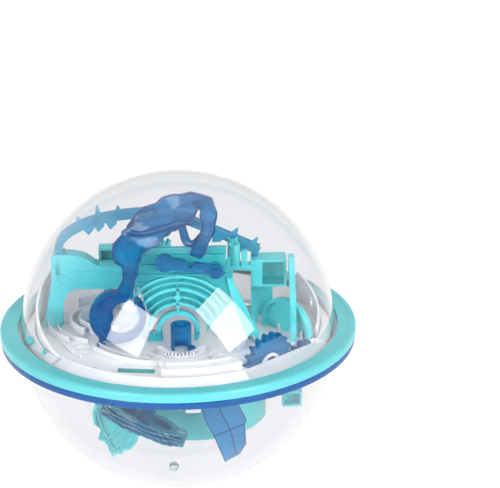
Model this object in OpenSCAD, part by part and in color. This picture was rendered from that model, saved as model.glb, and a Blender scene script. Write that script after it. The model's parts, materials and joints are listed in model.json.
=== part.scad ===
// Maze ball puzzle: a clear two-part sphere clamped by a two-colour ring.
// A maze plate lies across the middle, with obstacles standing on it and
// hanging under it, and a steel ball runs through them.
// Origin: centre of the sphere. +Z is square to the ring, +X is to the right
// and -Y is the front.

/* [Sphere] */
// Outer radius of the clear shells
shell_r = 95; // [79:1:114]
// Wall of the clear shells
shell_wall = 2; // [1.6:0.1:2.6]
// How far the shell flanges stand out
flange_w = 8; // [6.5:0.5:10]
// Thickness of each shell flange
flange_t = 1.6; // [1.2:0.1:2.2]

/* [Ring] */
// Width of the ring beyond the flanges
rim_wall = 4.6; // [4:0.1:5.6]
// How far the ring laps inwards over the flanges
rim_lap = 6.4; // [4:0.1:6.6]
// Height of the upper ring above the middle
rim_up = 5.6; // [4.6:0.1:7]
// Depth of the lower ring below the middle
rim_down = 4.8; // [4.2:0.1:6]
// Step between the upper and lower ring's outer faces
rim_step = 0.5; // [0:0.1:1]
// Radius of the rounded ring edges
rim_round = 1.1; // [0.5:0.1:1.4]
// Gap between the two rings
rim_gap = 0.15; // [0.1:0.05:0.3]
// Clearance between the rings and the flanges
rim_clearance = 0.1; // [0.05:0.05:0.2]

/* [Screws] */
// Number of screws that close the ring
rim_screw_count = 6; // [3:1:12]
// Shank radius of a ring screw
rim_screw_r = 0.8; // [0.6:0.1:1]
// Length of a ring screw's shank
rim_screw_len = 6; // [4:0.5:6.5]
// Head radius of a ring screw
rim_head_r = 1.5; // [1.2:0.1:1.7]
// Height of a ring screw's head
rim_head_h = 0.9; // [0.6:0.1:1.2]
// Shank radius of a plate screw
plate_screw_r = 1; // [0.8:0.1:1.4]
// Length of a plate screw's shank
plate_screw_len = 8; // [6:0.5:9]
// Head radius of a plate screw
plate_head_r = 2.2; // [1.8:0.1:2.6]
// Height of a plate screw's head
plate_head_h = 1.2; // [0.8:0.1:1.6]
// Radial clearance of a screw shank in the plate or the lower ring
screw_clearance = 0.2; // [0.1:0.05:0.3]

/* [Maze plate] */
// Thickness of the maze plate
plate_t = 3; // [2.4:0.1:3.6]
// Height of the low walls on the plate
fence_h = 6; // [4:0.5:8]
// Thickness of the low walls
fence_t = 1.6; // [1.2:0.1:2.2]

/* [Steel ball] */
// Radius of the steel ball
ball_r = 3.2; // [2.6:0.1:4]
// Gap between the ball and the shell it rolls on
ball_gap = 0.3; // [0.2:0.05:0.5]
// Degrees the ball rests forward of the lowest point
ball_forward = 4; // [0:0.5:8]
// Degrees the ball rests to the left of the lowest point
ball_left = 2.8; // [0:0.2:3]

/* [Gears] */
// Gear module
gear_module = 1.8; // [1.5:0.1:2]
// Teeth on the large gear
large_teeth = 20; // [16:1:22]
// Teeth on the small gear
small_teeth = 12; // [11:1:14]
// Thickness of both gears
gear_t = 4; // [3:0.5:5]
// Play between the flanks of meshed teeth
gear_backlash = 0.35; // [0.2:0.05:0.5]
// Radius of the gear pins and the wheel pin
axle_r = 1.5; // [1.2:0.1:1.8]
// Radial clearance of a wheel, a gear or the lever on its pin
running_gap = 0.06; // [0.04:0.01:0.08]
// Side clearance beside a turning piece
side_gap = 0.5; // [0.35:0.05:0.7]

/* [Lever] */
// Distance between the lever's two ends
lever_len = 30.6; // [26:0.2:36]
// Radius of the lever's lift pad
lever_pad_r = 5.2; // [4.4:0.1:6]
// Radius of the lever's pivot eye
lever_eye_r = 4.4; // [3.7:0.1:5]
// Radius of the lever's pin
lever_pin_r = 2; // [1.6:0.1:2.4]
// Thickness of the lever
lever_t = 3.4; // [2.8:0.1:4]

/* [Striped wheel] */
// Tip radius of the striped wheel
wheel_r = 27; // [23:0.5:28]
// Number of teeth round each flange of the striped wheel
wheel_teeth = 30; // [20:1:36]
// Number of toothed flanges across the striped wheel
wheel_flanges = 4; // [3:1:5]
// Thickness of a toothed flange, and of the groove beside it
wheel_step = 1.1; // [0.9:0.1:1.2]

/* [Center tube] */
// Outer radius of the centre tube
tube_r = 6.2; // [5.4:0.1:7.4]
// Wall of the centre tube
tube_wall = 1.5; // [1.2:0.1:1.8]
// Height of the centre tube
tube_h = 16; // [13:0.5:19]

/* [Walls] */
// Wall of the boxes, troughs and channels
wall = 1.5; // [1.2:0.1:1.8]

/* [Hidden] */
$fn = 96;
// A length longer than the whole object, for cutting
far = 3 * shell_r;
shell_in = shell_r - shell_wall;
deck = plate_t / 2;
flange_r = shell_r + flange_w;
rim_r = flange_r + rim_wall;
rim_in = flange_r - rim_lap;
rim_bore = flange_r + rim_clearance;
flange_top = deck + flange_t;
screw_pcd_r = (rim_bore + rim_r - rim_step) / 2;
// Inside radius that the maze pieces below are drawn for
design_r = 93;
maze_scale = shell_in / design_r;

teal = "#4fd0d3";
blue = "#1f6fb5";
deep_blue = "#0058b8";
white = "#f2f2f5";
clear = [0.93, 0.95, 0.97, 0.25];
steel = "#b9bcc2";

// ---- placing -------------------------------------------------------------

// Pieces that stand on the plate: z is measured up from its top face
module on_deck() {
  translate([0, 0, deck]) scale(maze_scale) children();
}

// Pieces that hang from the plate: z is measured up from its bottom face
module under_deck() {
  translate([0, 0, -deck]) scale(maze_scale) children();
}

// A flat outline in X and Z, extruded from y to y + depth
module upright(y, depth) {
  translate([0, y + depth, 0]) rotate([90, 0, 0]) linear_extrude(depth) children();
}

// A cylinder along +Y from y to y + length
module y_pin(x, y, z, r, length) {
  translate([x, y, z]) rotate([-90, 0, 0]) cylinder(r = r, h = length);
}

// A ring sector between two radii and two angles
module sector(r_in, r_out, h, from, to) {
  rotate([0, 0, from])
    rotate_extrude(angle = to - from)
      translate([r_in, 0]) square([r_out - r_in, h]);
}

// ---- curves --------------------------------------------------------------

// Catmull-Rom point between b and c
function spline_point(a, b, c, d, t) =
  0.5 * (2 * b + (c - a) * t + (2 * a - 5 * b + 4 * c - d) * t * t
    + (3 * b - a - 3 * c + d) * t * t * t);

// A smooth run through the points p with the given steps per stretch
function smooth(p, steps) = [
  for (i = [0 : len(p) - 2], s = [0 : steps - 1])
    spline_point(p[max(i - 1, 0)], p[i], p[i + 1], p[min(i + 2, len(p) - 1)], s / steps),
  p[len(p) - 1]
];

function unit(v) = v / norm(v);
function tangent(p, i) = unit(p[min(i + 1, len(p) - 1)] - p[max(i - 1, 0)]);

// A point of the flat run p, moved sideways by d
function beside(p, i, d) = p[i] + d * [-tangent(p, i)[1], tangent(p, i)[0]];

// The band between two offsets of the flat run p
module band(p, low, high) {
  polygon(concat(
    [for (i = [0 : len(p) - 1]) beside(p, i, low)],
    [for (i = [len(p) - 1 : -1 : 0]) beside(p, i, high)]
  ));
}

// ---- shells and ring -----------------------------------------------------

// A clear hemisphere on +Z with its clamping flange, standing on z = 0
module half_shell() {
  difference() {
    union() {
      sphere(r = shell_r, $fn = 144);
      cylinder(r = flange_r, h = flange_t);
    }
    sphere(r = shell_in, $fn = 144);
    translate([-far / 2, -far / 2, -far]) cube([far, far, far]);
  }
}

module upper_shell() {
  color(clear) translate([0, 0, deck]) half_shell();
}

module lower_shell() {
  color(clear) mirror([0, 0, 1]) translate([0, 0, deck]) half_shell();
}

// Cross-section of a ring on +Z: a wall beside the flanges and a lap over them
module rim_section(outer, top, gap) {
  arc_steps = 6;
  lap_under = flange_top + rim_clearance;
  lip_round = min(rim_round, (top - lap_under) * 0.9);
  polygon(concat(
    [[rim_bore, gap], [outer, gap]],
    [for (i = [0 : arc_steps])
      [outer - rim_round + rim_round * cos(90 * i / arc_steps),
       top - rim_round + rim_round * sin(90 * i / arc_steps)]],
    [for (i = [0 : arc_steps])
      [rim_in + lip_round - lip_round * sin(90 * i / arc_steps),
       top - lip_round + lip_round * cos(90 * i / arc_steps)]],
    [[rim_in, lap_under], [rim_bore, lap_under]]
  ));
}

module rim_screw_places() {
  for (i = [0 : rim_screw_count - 1])
    rotate([0, 0, (i + 0.5) * 360 / rim_screw_count])
      translate([screw_pcd_r, 0, -rim_down]) children();
}

module upper_rim() {
  color(teal)
    difference() {
      rotate_extrude($fn = 144) rim_section(rim_r, rim_up, rim_gap / 2);
      rim_screw_places() cylinder(r = rim_screw_r, h = rim_head_h + rim_screw_len + side_gap, $fn = 32);
    }
}

module lower_rim() {
  color(deep_blue)
    difference() {
      mirror([0, 0, 1])
        rotate_extrude($fn = 144) rim_section(rim_r - rim_step, rim_down, rim_gap / 2);
      rim_screw_places() {
        cylinder(r = rim_screw_r + screw_clearance, h = rim_down + rim_up, $fn = 32);
        translate([0, 0, -rim_head_h]) cylinder(r = rim_head_r + screw_clearance, h = 2 * rim_head_h, $fn = 32);
      }
    }
}

// A cross-head screw with its head's underside at z = 0, pointing up
module screw(shank_r, shank_len, head_r, head_h) {
  slot_w = head_r * 0.3;
  difference() {
    union() {
      translate([0, 0, -head_h]) cylinder(r = head_r, h = head_h, $fn = 32);
      cylinder(r = shank_r, h = shank_len, $fn = 32);
    }
    for (turn = [0, 90])
      rotate([0, 0, turn])
        translate([-head_r * 0.7, -slot_w / 2, -head_h - 1]) cube([head_r * 1.4, slot_w, 1 + head_h / 2]);
  }
}

module rim_screws() {
  color(steel)
    rim_screw_places()
      translate([0, 0, rim_head_h]) screw(rim_screw_r, rim_screw_len, rim_head_r, rim_head_h);
}

// ---- maze plate ----------------------------------------------------------

// Places of the screws that hold the standing pieces, in the maze's own scale
plate_screw_spots = [[-76, 8], [-14, -20], [44, -20], [52, 8]];
// The pass-through openings: centre and radius of each ball hole
ball_holes = [[-58, -32, 5.5], [8, 44, 6], [-22, 52, 5.5], [40, 36, 6], [22.5, -50, 5.5]];
// The long slot near the front: middle, length and width
slot_mid = [-25, -64];
slot_len = 22;
slot_w = 6;

module maze_plate() {
  color(white)
    difference() {
      translate([0, 0, -deck]) cylinder(r = flange_r, h = plate_t);
      translate([0, 0, -plate_t]) scale(maze_scale) {
        for (hole = ball_holes)
          translate([hole[0], hole[1], 0]) cylinder(r = hole[2], h = far, $fn = 48);
        translate([slot_mid[0], slot_mid[1], 0])
          rotate([0, 0, -8]) translate([-slot_len / 2, -slot_w / 2, 0]) cube([slot_len, slot_w, far]);
        gear_slot();
      }
      plate_screw_places()
        translate([0, 0, -1]) cylinder(r = plate_screw_r + screw_clearance, h = plate_t + 2, $fn = 32);
    }
}

module plate_screw_places() {
  for (spot = plate_screw_spots)
    translate([spot[0] * maze_scale, spot[1] * maze_scale, -deck]) children();
}

module plate_screws() {
  color(steel)
    plate_screw_places() screw(plate_screw_r, plate_screw_len, plate_head_r, plate_head_h);
}

// A pilot hole for a plate screw in a piece that stands on the plate
module pilot(spot) {
  translate([spot[0], spot[1], -1])
    cylinder(r = plate_screw_r / maze_scale, h = 1 + (plate_screw_len - plate_t + side_gap) / maze_scale, $fn = 32);
}

// Side walls that rise towards the back, cut by a sloping plane
band_r = 84;

module side_band(from, to, slope) {
  difference() {
    sector(band_r, band_r + fence_t, 40, from, to);
    translate([0, -48, fence_h / 2])
      rotate([slope, 0, 0]) translate([-far / 2, -far / 2, 0]) cube([far, far, far]);
  }
}

module left_fence() {
  color(white) on_deck() side_band(155, 215, 16);
}

module right_fence() {
  hole_r = 3.4;
  color(white)
    on_deck()
      difference() {
        side_band(-14, 28, 10);
        translate([0, 18, 7.5]) rotate([0, 90, 0]) cylinder(r = hole_r, h = far, $fn = 48);
      }
}

// A broad raised run along the front edge
module raised_track() {
  lip = 1.2;
  color(white)
    on_deck()
      difference() {
        sector(66, 77, fence_h, 262, 298);
        translate([0, 0, fence_h - lip]) sector(66 + fence_t, 77 - fence_t, fence_h, 263.5, 296.5);
      }
}

// Two round walls at the left, open towards the loop
cup_mid = [-44, 4];

module cup_wall() {
  color(white)
    on_deck()
      translate([cup_mid[0], cup_mid[1], 0]) {
        sector(26, 26 + fence_t, fence_h + 4, 70, 128);
        sector(20, 20 + fence_t, fence_h, 112, 235);
        sector(12, 20.5, fence_t, 112, 235);
      }
}

tube_mid = [1.5, -34];

// Low pickets in a ring round the centre tube
module picket_ring() {
  picket_count = 18;
  picket_h = 3.5;
  ring_r = tube_r + 7;
  color(white)
    on_deck()
      translate([tube_mid[0], tube_mid[1], 0]) {
        sector(ring_r - fence_t, ring_r + fence_t, fence_t, 195, 345);
        for (i = [0 : picket_count - 1])
          rotate([0, 0, 196 + i * 148 / (picket_count - 1)])
            translate([ring_r - fence_t, -0.5, 0]) cube([2 * fence_t, 1, picket_h]);
      }
}

// A zigzag wall along the left front
module zigzag_fence() {
  turns = 7;
  zig = [for (i = [0 : turns]) [82 - (i % 2) * 7, 228 + i * 4]];
  centre = [for (p = zig) [p[0] * cos(p[1]), p[0] * sin(p[1])]];
  color(white) on_deck() linear_extrude(fence_h * 0.7) band(centre, -fence_t / 2, fence_t / 2);
}

// ---- standing pieces, left -----------------------------------------------

arch_y = 3;
arch_depth = 10;
arch_top = 46.5;
arch_end_x = -25.5;

module arch_outline() {
  polygon(concat(
    [[-82, 0], [-70, 0], [-69.6, 10], [-68.5, 17], [-66.5, 21.5], [-62, 24.3]],
    [[arch_end_x, 24.3], [arch_end_x, 38.8], [-47, 38.8]],
    smooth([[-50, 40.6], [-55.5, 44.6], [-62, 46.2]], 3),
    [[-65, arch_top], [-73.5, arch_top], [-75.5, 44.5], [-75.6, 30], [-78, 17]]
  ));
}

module left_arch() {
  color(teal)
    on_deck()
      difference() {
        upright(arch_y, arch_depth) arch_outline();
        // lightening channel along the back
        upright(arch_y + wall * 2, arch_depth) polygon([
          [-79, 3], [-73, 3], [-72.4, 12], [-70, 22], [-64, 27.4], [arch_end_x - 3, 27.4],
          [arch_end_x - 3, 35.8], [-50, 35.8], [-57, 42], [-72.5, 43], [-72.5, 30], [-75, 17]]);
        pilot(plate_screw_spots[0]);
        translate([-72.8, arch_y - 1, 34]) cube([2.4, 3, 7]);
      }
  color(teal) on_deck() difference() {
    translate([-79, arch_y + 3, 0]) cube([6, arch_depth - 3, 8]);
    pilot(plate_screw_spots[0]);
  }
}

rail_y = 4;
rail_w = 7;
rail_run = smooth([
  [-69.6, arch_top + 0.9], [-69.9, 50.5], [-67.5, 55.6], [-61, 60.6], [-52, 64.8], [-43, 67.4],
  [-29, 69.6], [-15, 70], [0, 67.6], [12, 63], [32, 53.6], [49, 45.4]], 4);

// Teeth on the rail: place along the run, height and width
rail_spikes = [[14, 3.8, 3.4], [19, 6.5, 3], [22.5, 4.4, 3.2], [37.5, 5.5, 3.2], [40, 5.5, 3.2], [42.5, 5, 2.8]];
rail_teeth = [[15.5, 4.2], [18.5, 4.4], [21.2, 4.6], [38.6, 4], [41.4, 4]];

function at_run(p, place) = spline_point(
  p[max(floor(place) - 1, 0)], p[floor(place)],
  p[min(floor(place) + 1, len(p) - 1)], p[min(floor(place) + 2, len(p) - 1)], place - floor(place));

module spiked_rail() {
  floor_t = 1.6;
  side_h = 3.2;
  color(blue)
    on_deck() {
      upright(rail_y, rail_w) band(rail_run, -floor_t, 0);
      // pads on the arch and on the box
      translate([-70, rail_y, arch_top]) cube([3, rail_w, 1.4]);
      upright(rail_y, rail_w) polygon([[45, box_top], [49, box_top], [48.6, 44.6], [45, 46.4]]);
      for (y = [rail_y, rail_y + rail_w - wall])
        upright(y, wall) band(rail_run, -floor_t / 2, side_h);
      for (s = rail_spikes)
        upright(rail_y, wall)
          translate(at_run(rail_run, s[0]))
            rotate(atan2(tangent(rail_run, floor(s[0]))[1], tangent(rail_run, floor(s[0]))[0]))
              polygon([[-s[2], 1], [s[2], 1], [s[2] * 0.5, side_h + s[1]], [s[2] * 0.2, side_h + s[1]]]);
      for (s = rail_teeth)
        upright(rail_y, wall)
          translate(at_run(rail_run, s[0]))
            rotate(atan2(tangent(rail_run, floor(s[0]))[1], tangent(rail_run, floor(s[0]))[0]))
              polygon([[-3.6, -0.5], [3.6, -0.5], [3.2, -floor_t - s[1] * 0.4], [-1.4, -floor_t - s[1]]]);
    }
}

// A small block behind the arch
module rear_block() {
  color(teal) on_deck() {
    translate([-47.5, 18, 33.5]) difference() {
      cube([10, 9, 11]);
      translate([wall, -1, wall]) cube([10 - 2 * wall, 9 - wall + 1, 11 - 2 * wall]);
    }
    translate([-45, 20, 0]) cube([5, 5, 33.5]);
  }
}

// ---- fan grille and lever ------------------------------------------------

fan_y = -22;
fan_depth = 4;
web_t = 1.6;
fan_mid_z = 6.4;
fan_left = -24;
fan_right = 29;
fan_top = 59;
// Ridges of the grille: inner and outer radius of each
fan_ridges = [[10.4, 13], [17, 18.6], [26, 28], [33.8, 35.4]];
// Open slot between the two inner ridges
fan_open = [12.6, 17.4];
// Radius and half width of the archway at the foot
fan_arch = [9.8, 9.4];
fan_bars = [41, 47, 53, 57.6];
bar_t = 1.4;

pivot_x = 22.8;
pivot_z = 45.5;
lever_tilt = 169.3;
lever_y = fan_y - side_gap - lever_t;
pad_x = pivot_x + lever_len * cos(lever_tilt);
pad_z = pivot_z + lever_len * sin(lever_tilt);

module fan_outline() {
  difference() {
    polygon([
      [-13, 0], [13, 0], [22, 12], [32, 24], [fan_right, 38], [fan_right, fan_top],
      [fan_left, fan_top], [fan_left, 38], [-17, 16]]);
    translate([0, fan_mid_z]) circle(r = fan_arch[0]);
    translate([-fan_arch[1], -1]) square([2 * fan_arch[1], fan_mid_z + 1]);
  }
}

// A flat ring between two radii, round the middle of the fan
module fan_ring(radii) {
  translate([0, fan_mid_z])
    difference() {
      circle(r = radii[1]);
      circle(r = radii[0]);
    }
}

module fan_boss(x, z, r) {
  y_pin(x, fan_y, z, r, 18);
}

module fan_grille() {
  color(teal)
    on_deck()
      difference() {
        union() {
          upright(fan_y + fan_depth - web_t, web_t)
            difference() {
              fan_outline();
              fan_ring(fan_open);
            }
          upright(fan_y, fan_depth)
            intersection() {
              fan_outline();
              union() {
                for (radii = fan_ridges) fan_ring(radii);
                translate([-bar_t / 2, fan_mid_z + fan_open[0]]) square([bar_t, 24]);
              }
            }
          // bars across the top and down the left edge
          upright(fan_y + 1, fan_depth - 1) {
            for (z = fan_bars)
              translate([fan_left, z]) square([fan_right - fan_left, bar_t]);
            translate([fan_left, 38]) square([bar_t, fan_top - 38]);
          }
          y_pin(0, fan_y - 0.6, 28.5, 1.8, 3);
          fan_boss(pivot_x, pivot_z, 4.2);
          fan_boss(pad_x, pad_z, 4.6);
          // side web that reaches back to the arch
          translate([fan_left - wall, fan_y + 1, 24.3]) cube([wall, arch_y + arch_depth - fan_y - 1, 14.5]);
          // tongue that ties the side web to the grille
          translate([fan_left - wall, fan_y + 1, 34.5]) cube([wall + 4, fan_depth - 1, 3]);
          // foot
          translate([-18, fan_y, 0]) cube([8, 7, 4.6]);
        }
        y_pin(pivot_x, fan_y - 1, pivot_z, lever_pin_r, 12);
        pilot(plate_screw_spots[1]);
      }
}

// A slanted strut at the right of the grille, with a foot
module fan_strut() {
  color(teal)
    on_deck()
      difference() {
        union() {
          upright(fan_y + 1, 3) polygon([
            [fan_right + 0.1, 39], [fan_right + 3, 39], [48, 4], [48, 0], [40, 0], [40, 4],
            [32.6, 24], [fan_right + 0.6, 36]]);
          translate([40, fan_y, 0]) cube([8, 6, 4.6]);
        }
        pilot(plate_screw_spots[2]);
      }
}

module lever_outline() {
  notch = lever_len * 0.5;
  polygon([
    [0, -2.6], [lever_len, -3.4], [lever_len, 3.2], [notch + 3.6, 3.2],
    [notch + 2.2, -0.6], [notch - 0.6, -0.6], [notch - 2.4, 3.4], [0, 2.6]]);
}

// The lever turns on a pin through its right-hand eye
module lever() {
  color(blue)
    on_deck()
      difference() {
        union() {
          translate([pivot_x, lever_y + lever_t, pivot_z])
            rotate([90, 0, 0]) rotate([0, 0, lever_tilt]) mirror([0, 1, 0])
              linear_extrude(lever_t) lever_outline();
          y_pin(pivot_x, lever_y - 1, pivot_z, lever_eye_r, lever_t + 1);
          y_pin(pad_x, lever_y - 1, pad_z, lever_pad_r, lever_t + 1);
        }
        y_pin(pivot_x, lever_y - 2, pivot_z, lever_pin_r + running_gap, lever_t + 4);
        y_pin(pad_x, lever_y - 2, pad_z, lever_pad_r - wall, 1.6);
      }
}

module lever_pin() {
  head_t = 1;
  color(deep_blue)
    on_deck() {
      y_pin(pivot_x, lever_y - 1 - side_gap, pivot_z, lever_pin_r, lever_t + 1 + 2 * side_gap + 10);
      y_pin(pivot_x, lever_y - 1 - side_gap - head_t, pivot_z, lever_pin_r + 1, head_t);
    }
}

// ---- twisting track and loop ---------------------------------------------

// Stations of the twisting track: place, direction of its open side, width
track_place = [
  [-30, -27, 33.8], [-29, -27, 43], [-31, -26, 53], [-29, -23.5, 61], [-22, -14, 69],
  [-11, -2, 76], [1, 6, 80], [12, 8, 80], [20, 2, 77.5], [23, -9, 73.5],
  [22, -20, 68], [18, -27, 61.5], [15.5, -29, 55]];
track_open = [
  [0, -1, 0], [0, -1, 0], [0.1, -1, 0.3], [0.1, -0.9, 0.6], [-0.2, -0.7, 0.8],
  [-0.2, -0.2, 1], [0, 0.5, 1], [0.4, 0.9, 0.7], [1, 0.5, 0.4], [1, -0.2, 0.3],
  [0.9, -0.5, 0.3], [0.7, -0.8, 0.2], [0.6, -0.9, 0]];
track_width = [9, 9.5, 14, 17, 18, 17, 14, 11, 9.5, 9, 9, 9, 9];
track_depth = 5;
track_steps = 5;

// A channel section: a U of width w, opening along +y
function channel(w, depth, t) = [
  [-w / 2, 0], [w / 2, 0], [w / 2, depth], [w / 2 - t, depth],
  [w / 2 - t, t], [-w / 2 + t, t], [-w / 2 + t, depth], [-w / 2, depth]];

// A skin through equal rings of points, closed by its two end faces
module skin(rings) {
  n = len(rings[0]);
  last = len(rings) - 1;
  polyhedron(
    points = [for (ring = rings) each ring],
    faces = concat(
      [[for (j = [0 : n - 1]) j]],
      [[for (j = [n - 1 : -1 : 0]) last * n + j]],
      [for (i = [0 : last - 1], j = [0 : n - 1])
        [i * n + j, (i + 1) * n + (j + 1) % n, i * n + (j + 1) % n]],
      [for (i = [0 : last - 1], j = [0 : n - 1])
        [i * n + j, (i + 1) * n + j, (i + 1) * n + (j + 1) % n]]
    ), convexity = 6);
}

module twist_track() {
  path = smooth(track_place, track_steps);
  open = smooth(track_open, track_steps);
  width = smooth(track_width, track_steps);
  scallop = 0.9;
  rings = [for (i = [0 : len(path) - 1])
    let(
      along = tangent(path, i),
      side = unit(cross(along, open[i])),
      up = cross(side, along),
      w = width[i] + (i % 2) * scallop * 2
    )
    [for (p = channel(w, track_depth, wall)) path[i] + side * p[0] + up * p[1]]];
  color(blue) on_deck() skin(rings);
}

loop_mid = [-36, 17.5];
loop_r = 16;
loop_y = -31;
loop_depth = 9;

// A round channel, open to its own centre, that carries the ball over
module loop_channel() {
  color(deep_blue)
    on_deck()
      translate([loop_mid[0], loop_y + loop_depth, loop_mid[1]])
        rotate([90, 0, 0]) rotate([0, 0, 20])
          rotate_extrude(angle = 300)
            difference() {
              translate([loop_r - 7, 0]) square([7, loop_depth]);
              translate([0, wall]) square([loop_r - wall, loop_depth - 2 * wall]);
            }
}

module loop_pin() {
  pin_x = -46;
  pin_r = 1.3;
  top = loop_mid[1] - sqrt(loop_r * loop_r - (pin_x - loop_mid[0]) * (pin_x - loop_mid[0]));
  color(deep_blue)
    on_deck() {
      difference() {
        translate([pin_x, loop_y + loop_depth / 2, 0]) cylinder(r = pin_r, h = top + 2, $fn = 32);
        y_pin(loop_mid[0], loop_y - 1, loop_mid[1], loop_r, loop_depth + 2);
      }
      translate([pin_x, loop_y + loop_depth / 2, 0]) cylinder(r = 2 * pin_r, h = 1.2, $fn = 32);
    }
}

// ---- standing pieces, right ----------------------------------------------

box_x = 44.5;
box_w = 21;
box_y = -2;
box_depth = 13;
box_z = 25.5;
box_h = 17.3;
box_top = box_z + box_h;
box_side = 6.5;
leg_w = 13;
leg_back = 6;

// A box, open to the front, on a leg
module corner_box() {
  color(teal)
    on_deck()
      difference() {
        union() {
          translate([box_x, box_y, box_z]) cube([box_w, box_depth, box_h]);
          translate([box_x, box_y + leg_back, 0]) cube([leg_w, box_depth - leg_back, box_z]);
        }
        translate([box_x + box_side, box_y - 1, box_z + wall])
          cube([box_w - box_side - wall, box_depth - wall + 1, box_h - 2 * wall]);
        translate([box_x + wall, box_y + wall, box_z + wall])
          cube([box_side - 2 * wall, box_depth, box_h - 2 * wall]);
        translate([box_x + wall, box_y + leg_back + wall, 8])
          cube([leg_w - 2 * wall, box_depth, box_z - 8 - wall]);
        pilot(plate_screw_spots[3]);
      }
}

// Short pipes between the grille and the box
module pipe_cluster() {
  color(teal)
    on_deck() {
      translate([fan_right + 0.1, -6, 38]) cube([box_x - fan_right - 0.1, 7, 3]);
      difference() {
        translate([34, -3, 41]) cylinder(r = 3.6, h = 13, $fn = 48);
        translate([34, -3, 42.5]) cylinder(r = 2.1, h = 13, $fn = 48);
      }
      translate([38.5, -6, 41]) cube([3.4, 4, 9]);
      translate([30, -5.9, 41]) cube([2.2, 3, 6]);
      translate([29.2, -6, 25]) cube([4, 4, 13]);
    }
}

// A tall thin fin, sloping back as it rises
module right_fin() {
  fin_t = 3.5;
  color(teal)
    on_deck()
      difference() {
        translate([66.5, 0, 0]) rotate([90, 0, 90])
          linear_extrude(fin_t) polygon([
            [-27.5, 0], [-22.5, 0], [-22.5, 23], [1, 38], [1, 45.5], [-6, 45.5], [-10, 40], [-25, 22]]);
        gear_room();
      }
}

hood_mid = [63.5, -14];
hood_turn = -45;
hood_r = 19;

// An upright half-disc with a raised border, at an angle beside the fin
module hood_disc() {
  border = 2.2;
  web = 1.2;
  color(teal)
    on_deck()
      difference() {
        translate([hood_mid[0], hood_mid[1], 0]) rotate([0, 0, hood_turn])
          difference() {
            intersection() {
              y_pin(0, 0, 3, hood_r, 4);
              translate([-far / 2, 0, 0]) cube([far, far, far]);
            }
            y_pin(0, -web, 3, hood_r - border, 4);
          }
        gear_room();
      }
}

module center_tube() {
  color(blue)
    on_deck()
      translate([tube_mid[0], tube_mid[1], 0])
        difference() {
          cylinder(r = tube_r, h = tube_h);
          translate([0, 0, -1]) cylinder(r = tube_r - tube_wall, h = tube_h + 2);
          // way out for the ball at the foot
          translate([-ball_r / maze_scale - 0.6, -far, -1])
            cube([2 * ball_r / maze_scale + 1.2, far, 2 + 2 * ball_r / maze_scale + 0.6]);
        }
}

// A small round stop beside the tube's foot
module tube_outlet() {
  stop_r = 2.3;
  stop_t = 2.6;
  color(deep_blue)
    on_deck()
      translate([tube_mid[0] + tube_r + 0.2, tube_mid[1] - tube_r, 0]) {
        cylinder(r = stop_r * 0.6, h = stop_r, $fn = 32);
        translate([0, stop_t / 2, stop_r]) rotate([90, 0, 0]) cylinder(r = stop_r, h = stop_t, $fn = 48);
      }
}

// ---- gears ---------------------------------------------------------------

gear_mid = [52, -46, -2.5];
gear_turn = 42;
mesh_drop = 12;
pressure = 25;
large_r = gear_module * large_teeth / 2;
small_r = gear_module * small_teeth / 2;
mesh_distance = large_r + small_r;
small_x = mesh_distance * cos(mesh_drop);
small_z = -mesh_distance * sin(mesh_drop);
gear_hub_t = 1.2;
pin_head_t = 1;

// Involute angle in degrees for a pressure angle in degrees
function inv(a) = tan(a) * 180 / PI - a;
// Half of a tooth's angle at radius r
function tooth_half(teeth, r) =
  let(pitch_r = gear_module * teeth / 2, base_r = pitch_r * cos(pressure))
  90 / teeth - gear_backlash * 45 / PI / pitch_r + inv(pressure) - inv(acos(min(1, base_r / r)));

// A gear outline with a tooth centred on +X
module gear_outline(teeth) {
  pitch_r = gear_module * teeth / 2;
  base_r = pitch_r * cos(pressure);
  tip_r = pitch_r + 0.85 * gear_module;
  root_r = pitch_r - 1.15 * gear_module;
  start_r = max(base_r, root_r);
  flank = [for (i = [0 : 4]) start_r + (tip_r - start_r) * i / 4];
  points = [for (k = [0 : teeth - 1], r = concat([root_r], flank)) [r, k * 360 / teeth - tooth_half(teeth, r)]];
  mirrored = [for (k = [0 : teeth - 1], i = [4 : -1 : -1])
    let(r = i < 0 ? root_r : flank[i]) [r, k * 360 / teeth + tooth_half(teeth, r)]];
  half = 6;
  polygon([for (k = [0 : teeth - 1], i = [0 : 2 * half - 1])
    let(p = i < half ? points[k * half + i] : mirrored[k * half + i - half])
    [p[0] * cos(p[1]), p[0] * sin(p[1])]]);
}

// The gears' own frame: x along the pair, -y outwards, z up
module gear_frame() {
  translate(gear_mid) rotate([0, 0, gear_turn]) children();
}

// A gear between y = -gear_t / 2 and gear_t / 2, with a hub on its outer face
module gear(teeth, first, hub_r, holes) {
  root_r = gear_module * (teeth / 2 - 1.15);
  translate([0, gear_t / 2, 0]) rotate([90, 0, 0])
    difference() {
      union() {
        rotate([0, 0, first]) linear_extrude(gear_t) gear_outline(teeth);
        cylinder(r = hub_r, h = gear_t + gear_hub_t);
      }
      translate([0, 0, -1]) cylinder(r = axle_r + running_gap, h = gear_t + gear_hub_t + 2);
      for (i = [0 : holes - 1])
        rotate([0, 0, 45 + i * 360 / holes])
          translate([root_r * 0.72, 0, -1]) cylinder(r = root_r * 0.14, h = gear_t + 2, $fn = 48);
    }
}

module large_gear() {
  color(blue) under_deck() gear_frame() gear(large_teeth, -mesh_drop, 4.2, 0);
}

module small_gear() {
  color(blue)
    under_deck() gear_frame()
      translate([small_x, 0, small_z])
        gear(small_teeth, 180 - mesh_drop + 180 / small_teeth, 3.4, 0);
}

bracket_y = gear_t / 2 + side_gap;
bracket_t = 3;

module gear_pins() {
  front = -gear_t / 2 - gear_hub_t - side_gap;
  color(steel)
    under_deck() gear_frame()
      for (spot = [[0, 0], [small_x, small_z]]) {
        y_pin(spot[0], front, spot[1], axle_r, bracket_y + bracket_t - front);
        y_pin(spot[0], front - pin_head_t, spot[1], axle_r + 1, pin_head_t);
      }
}

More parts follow.
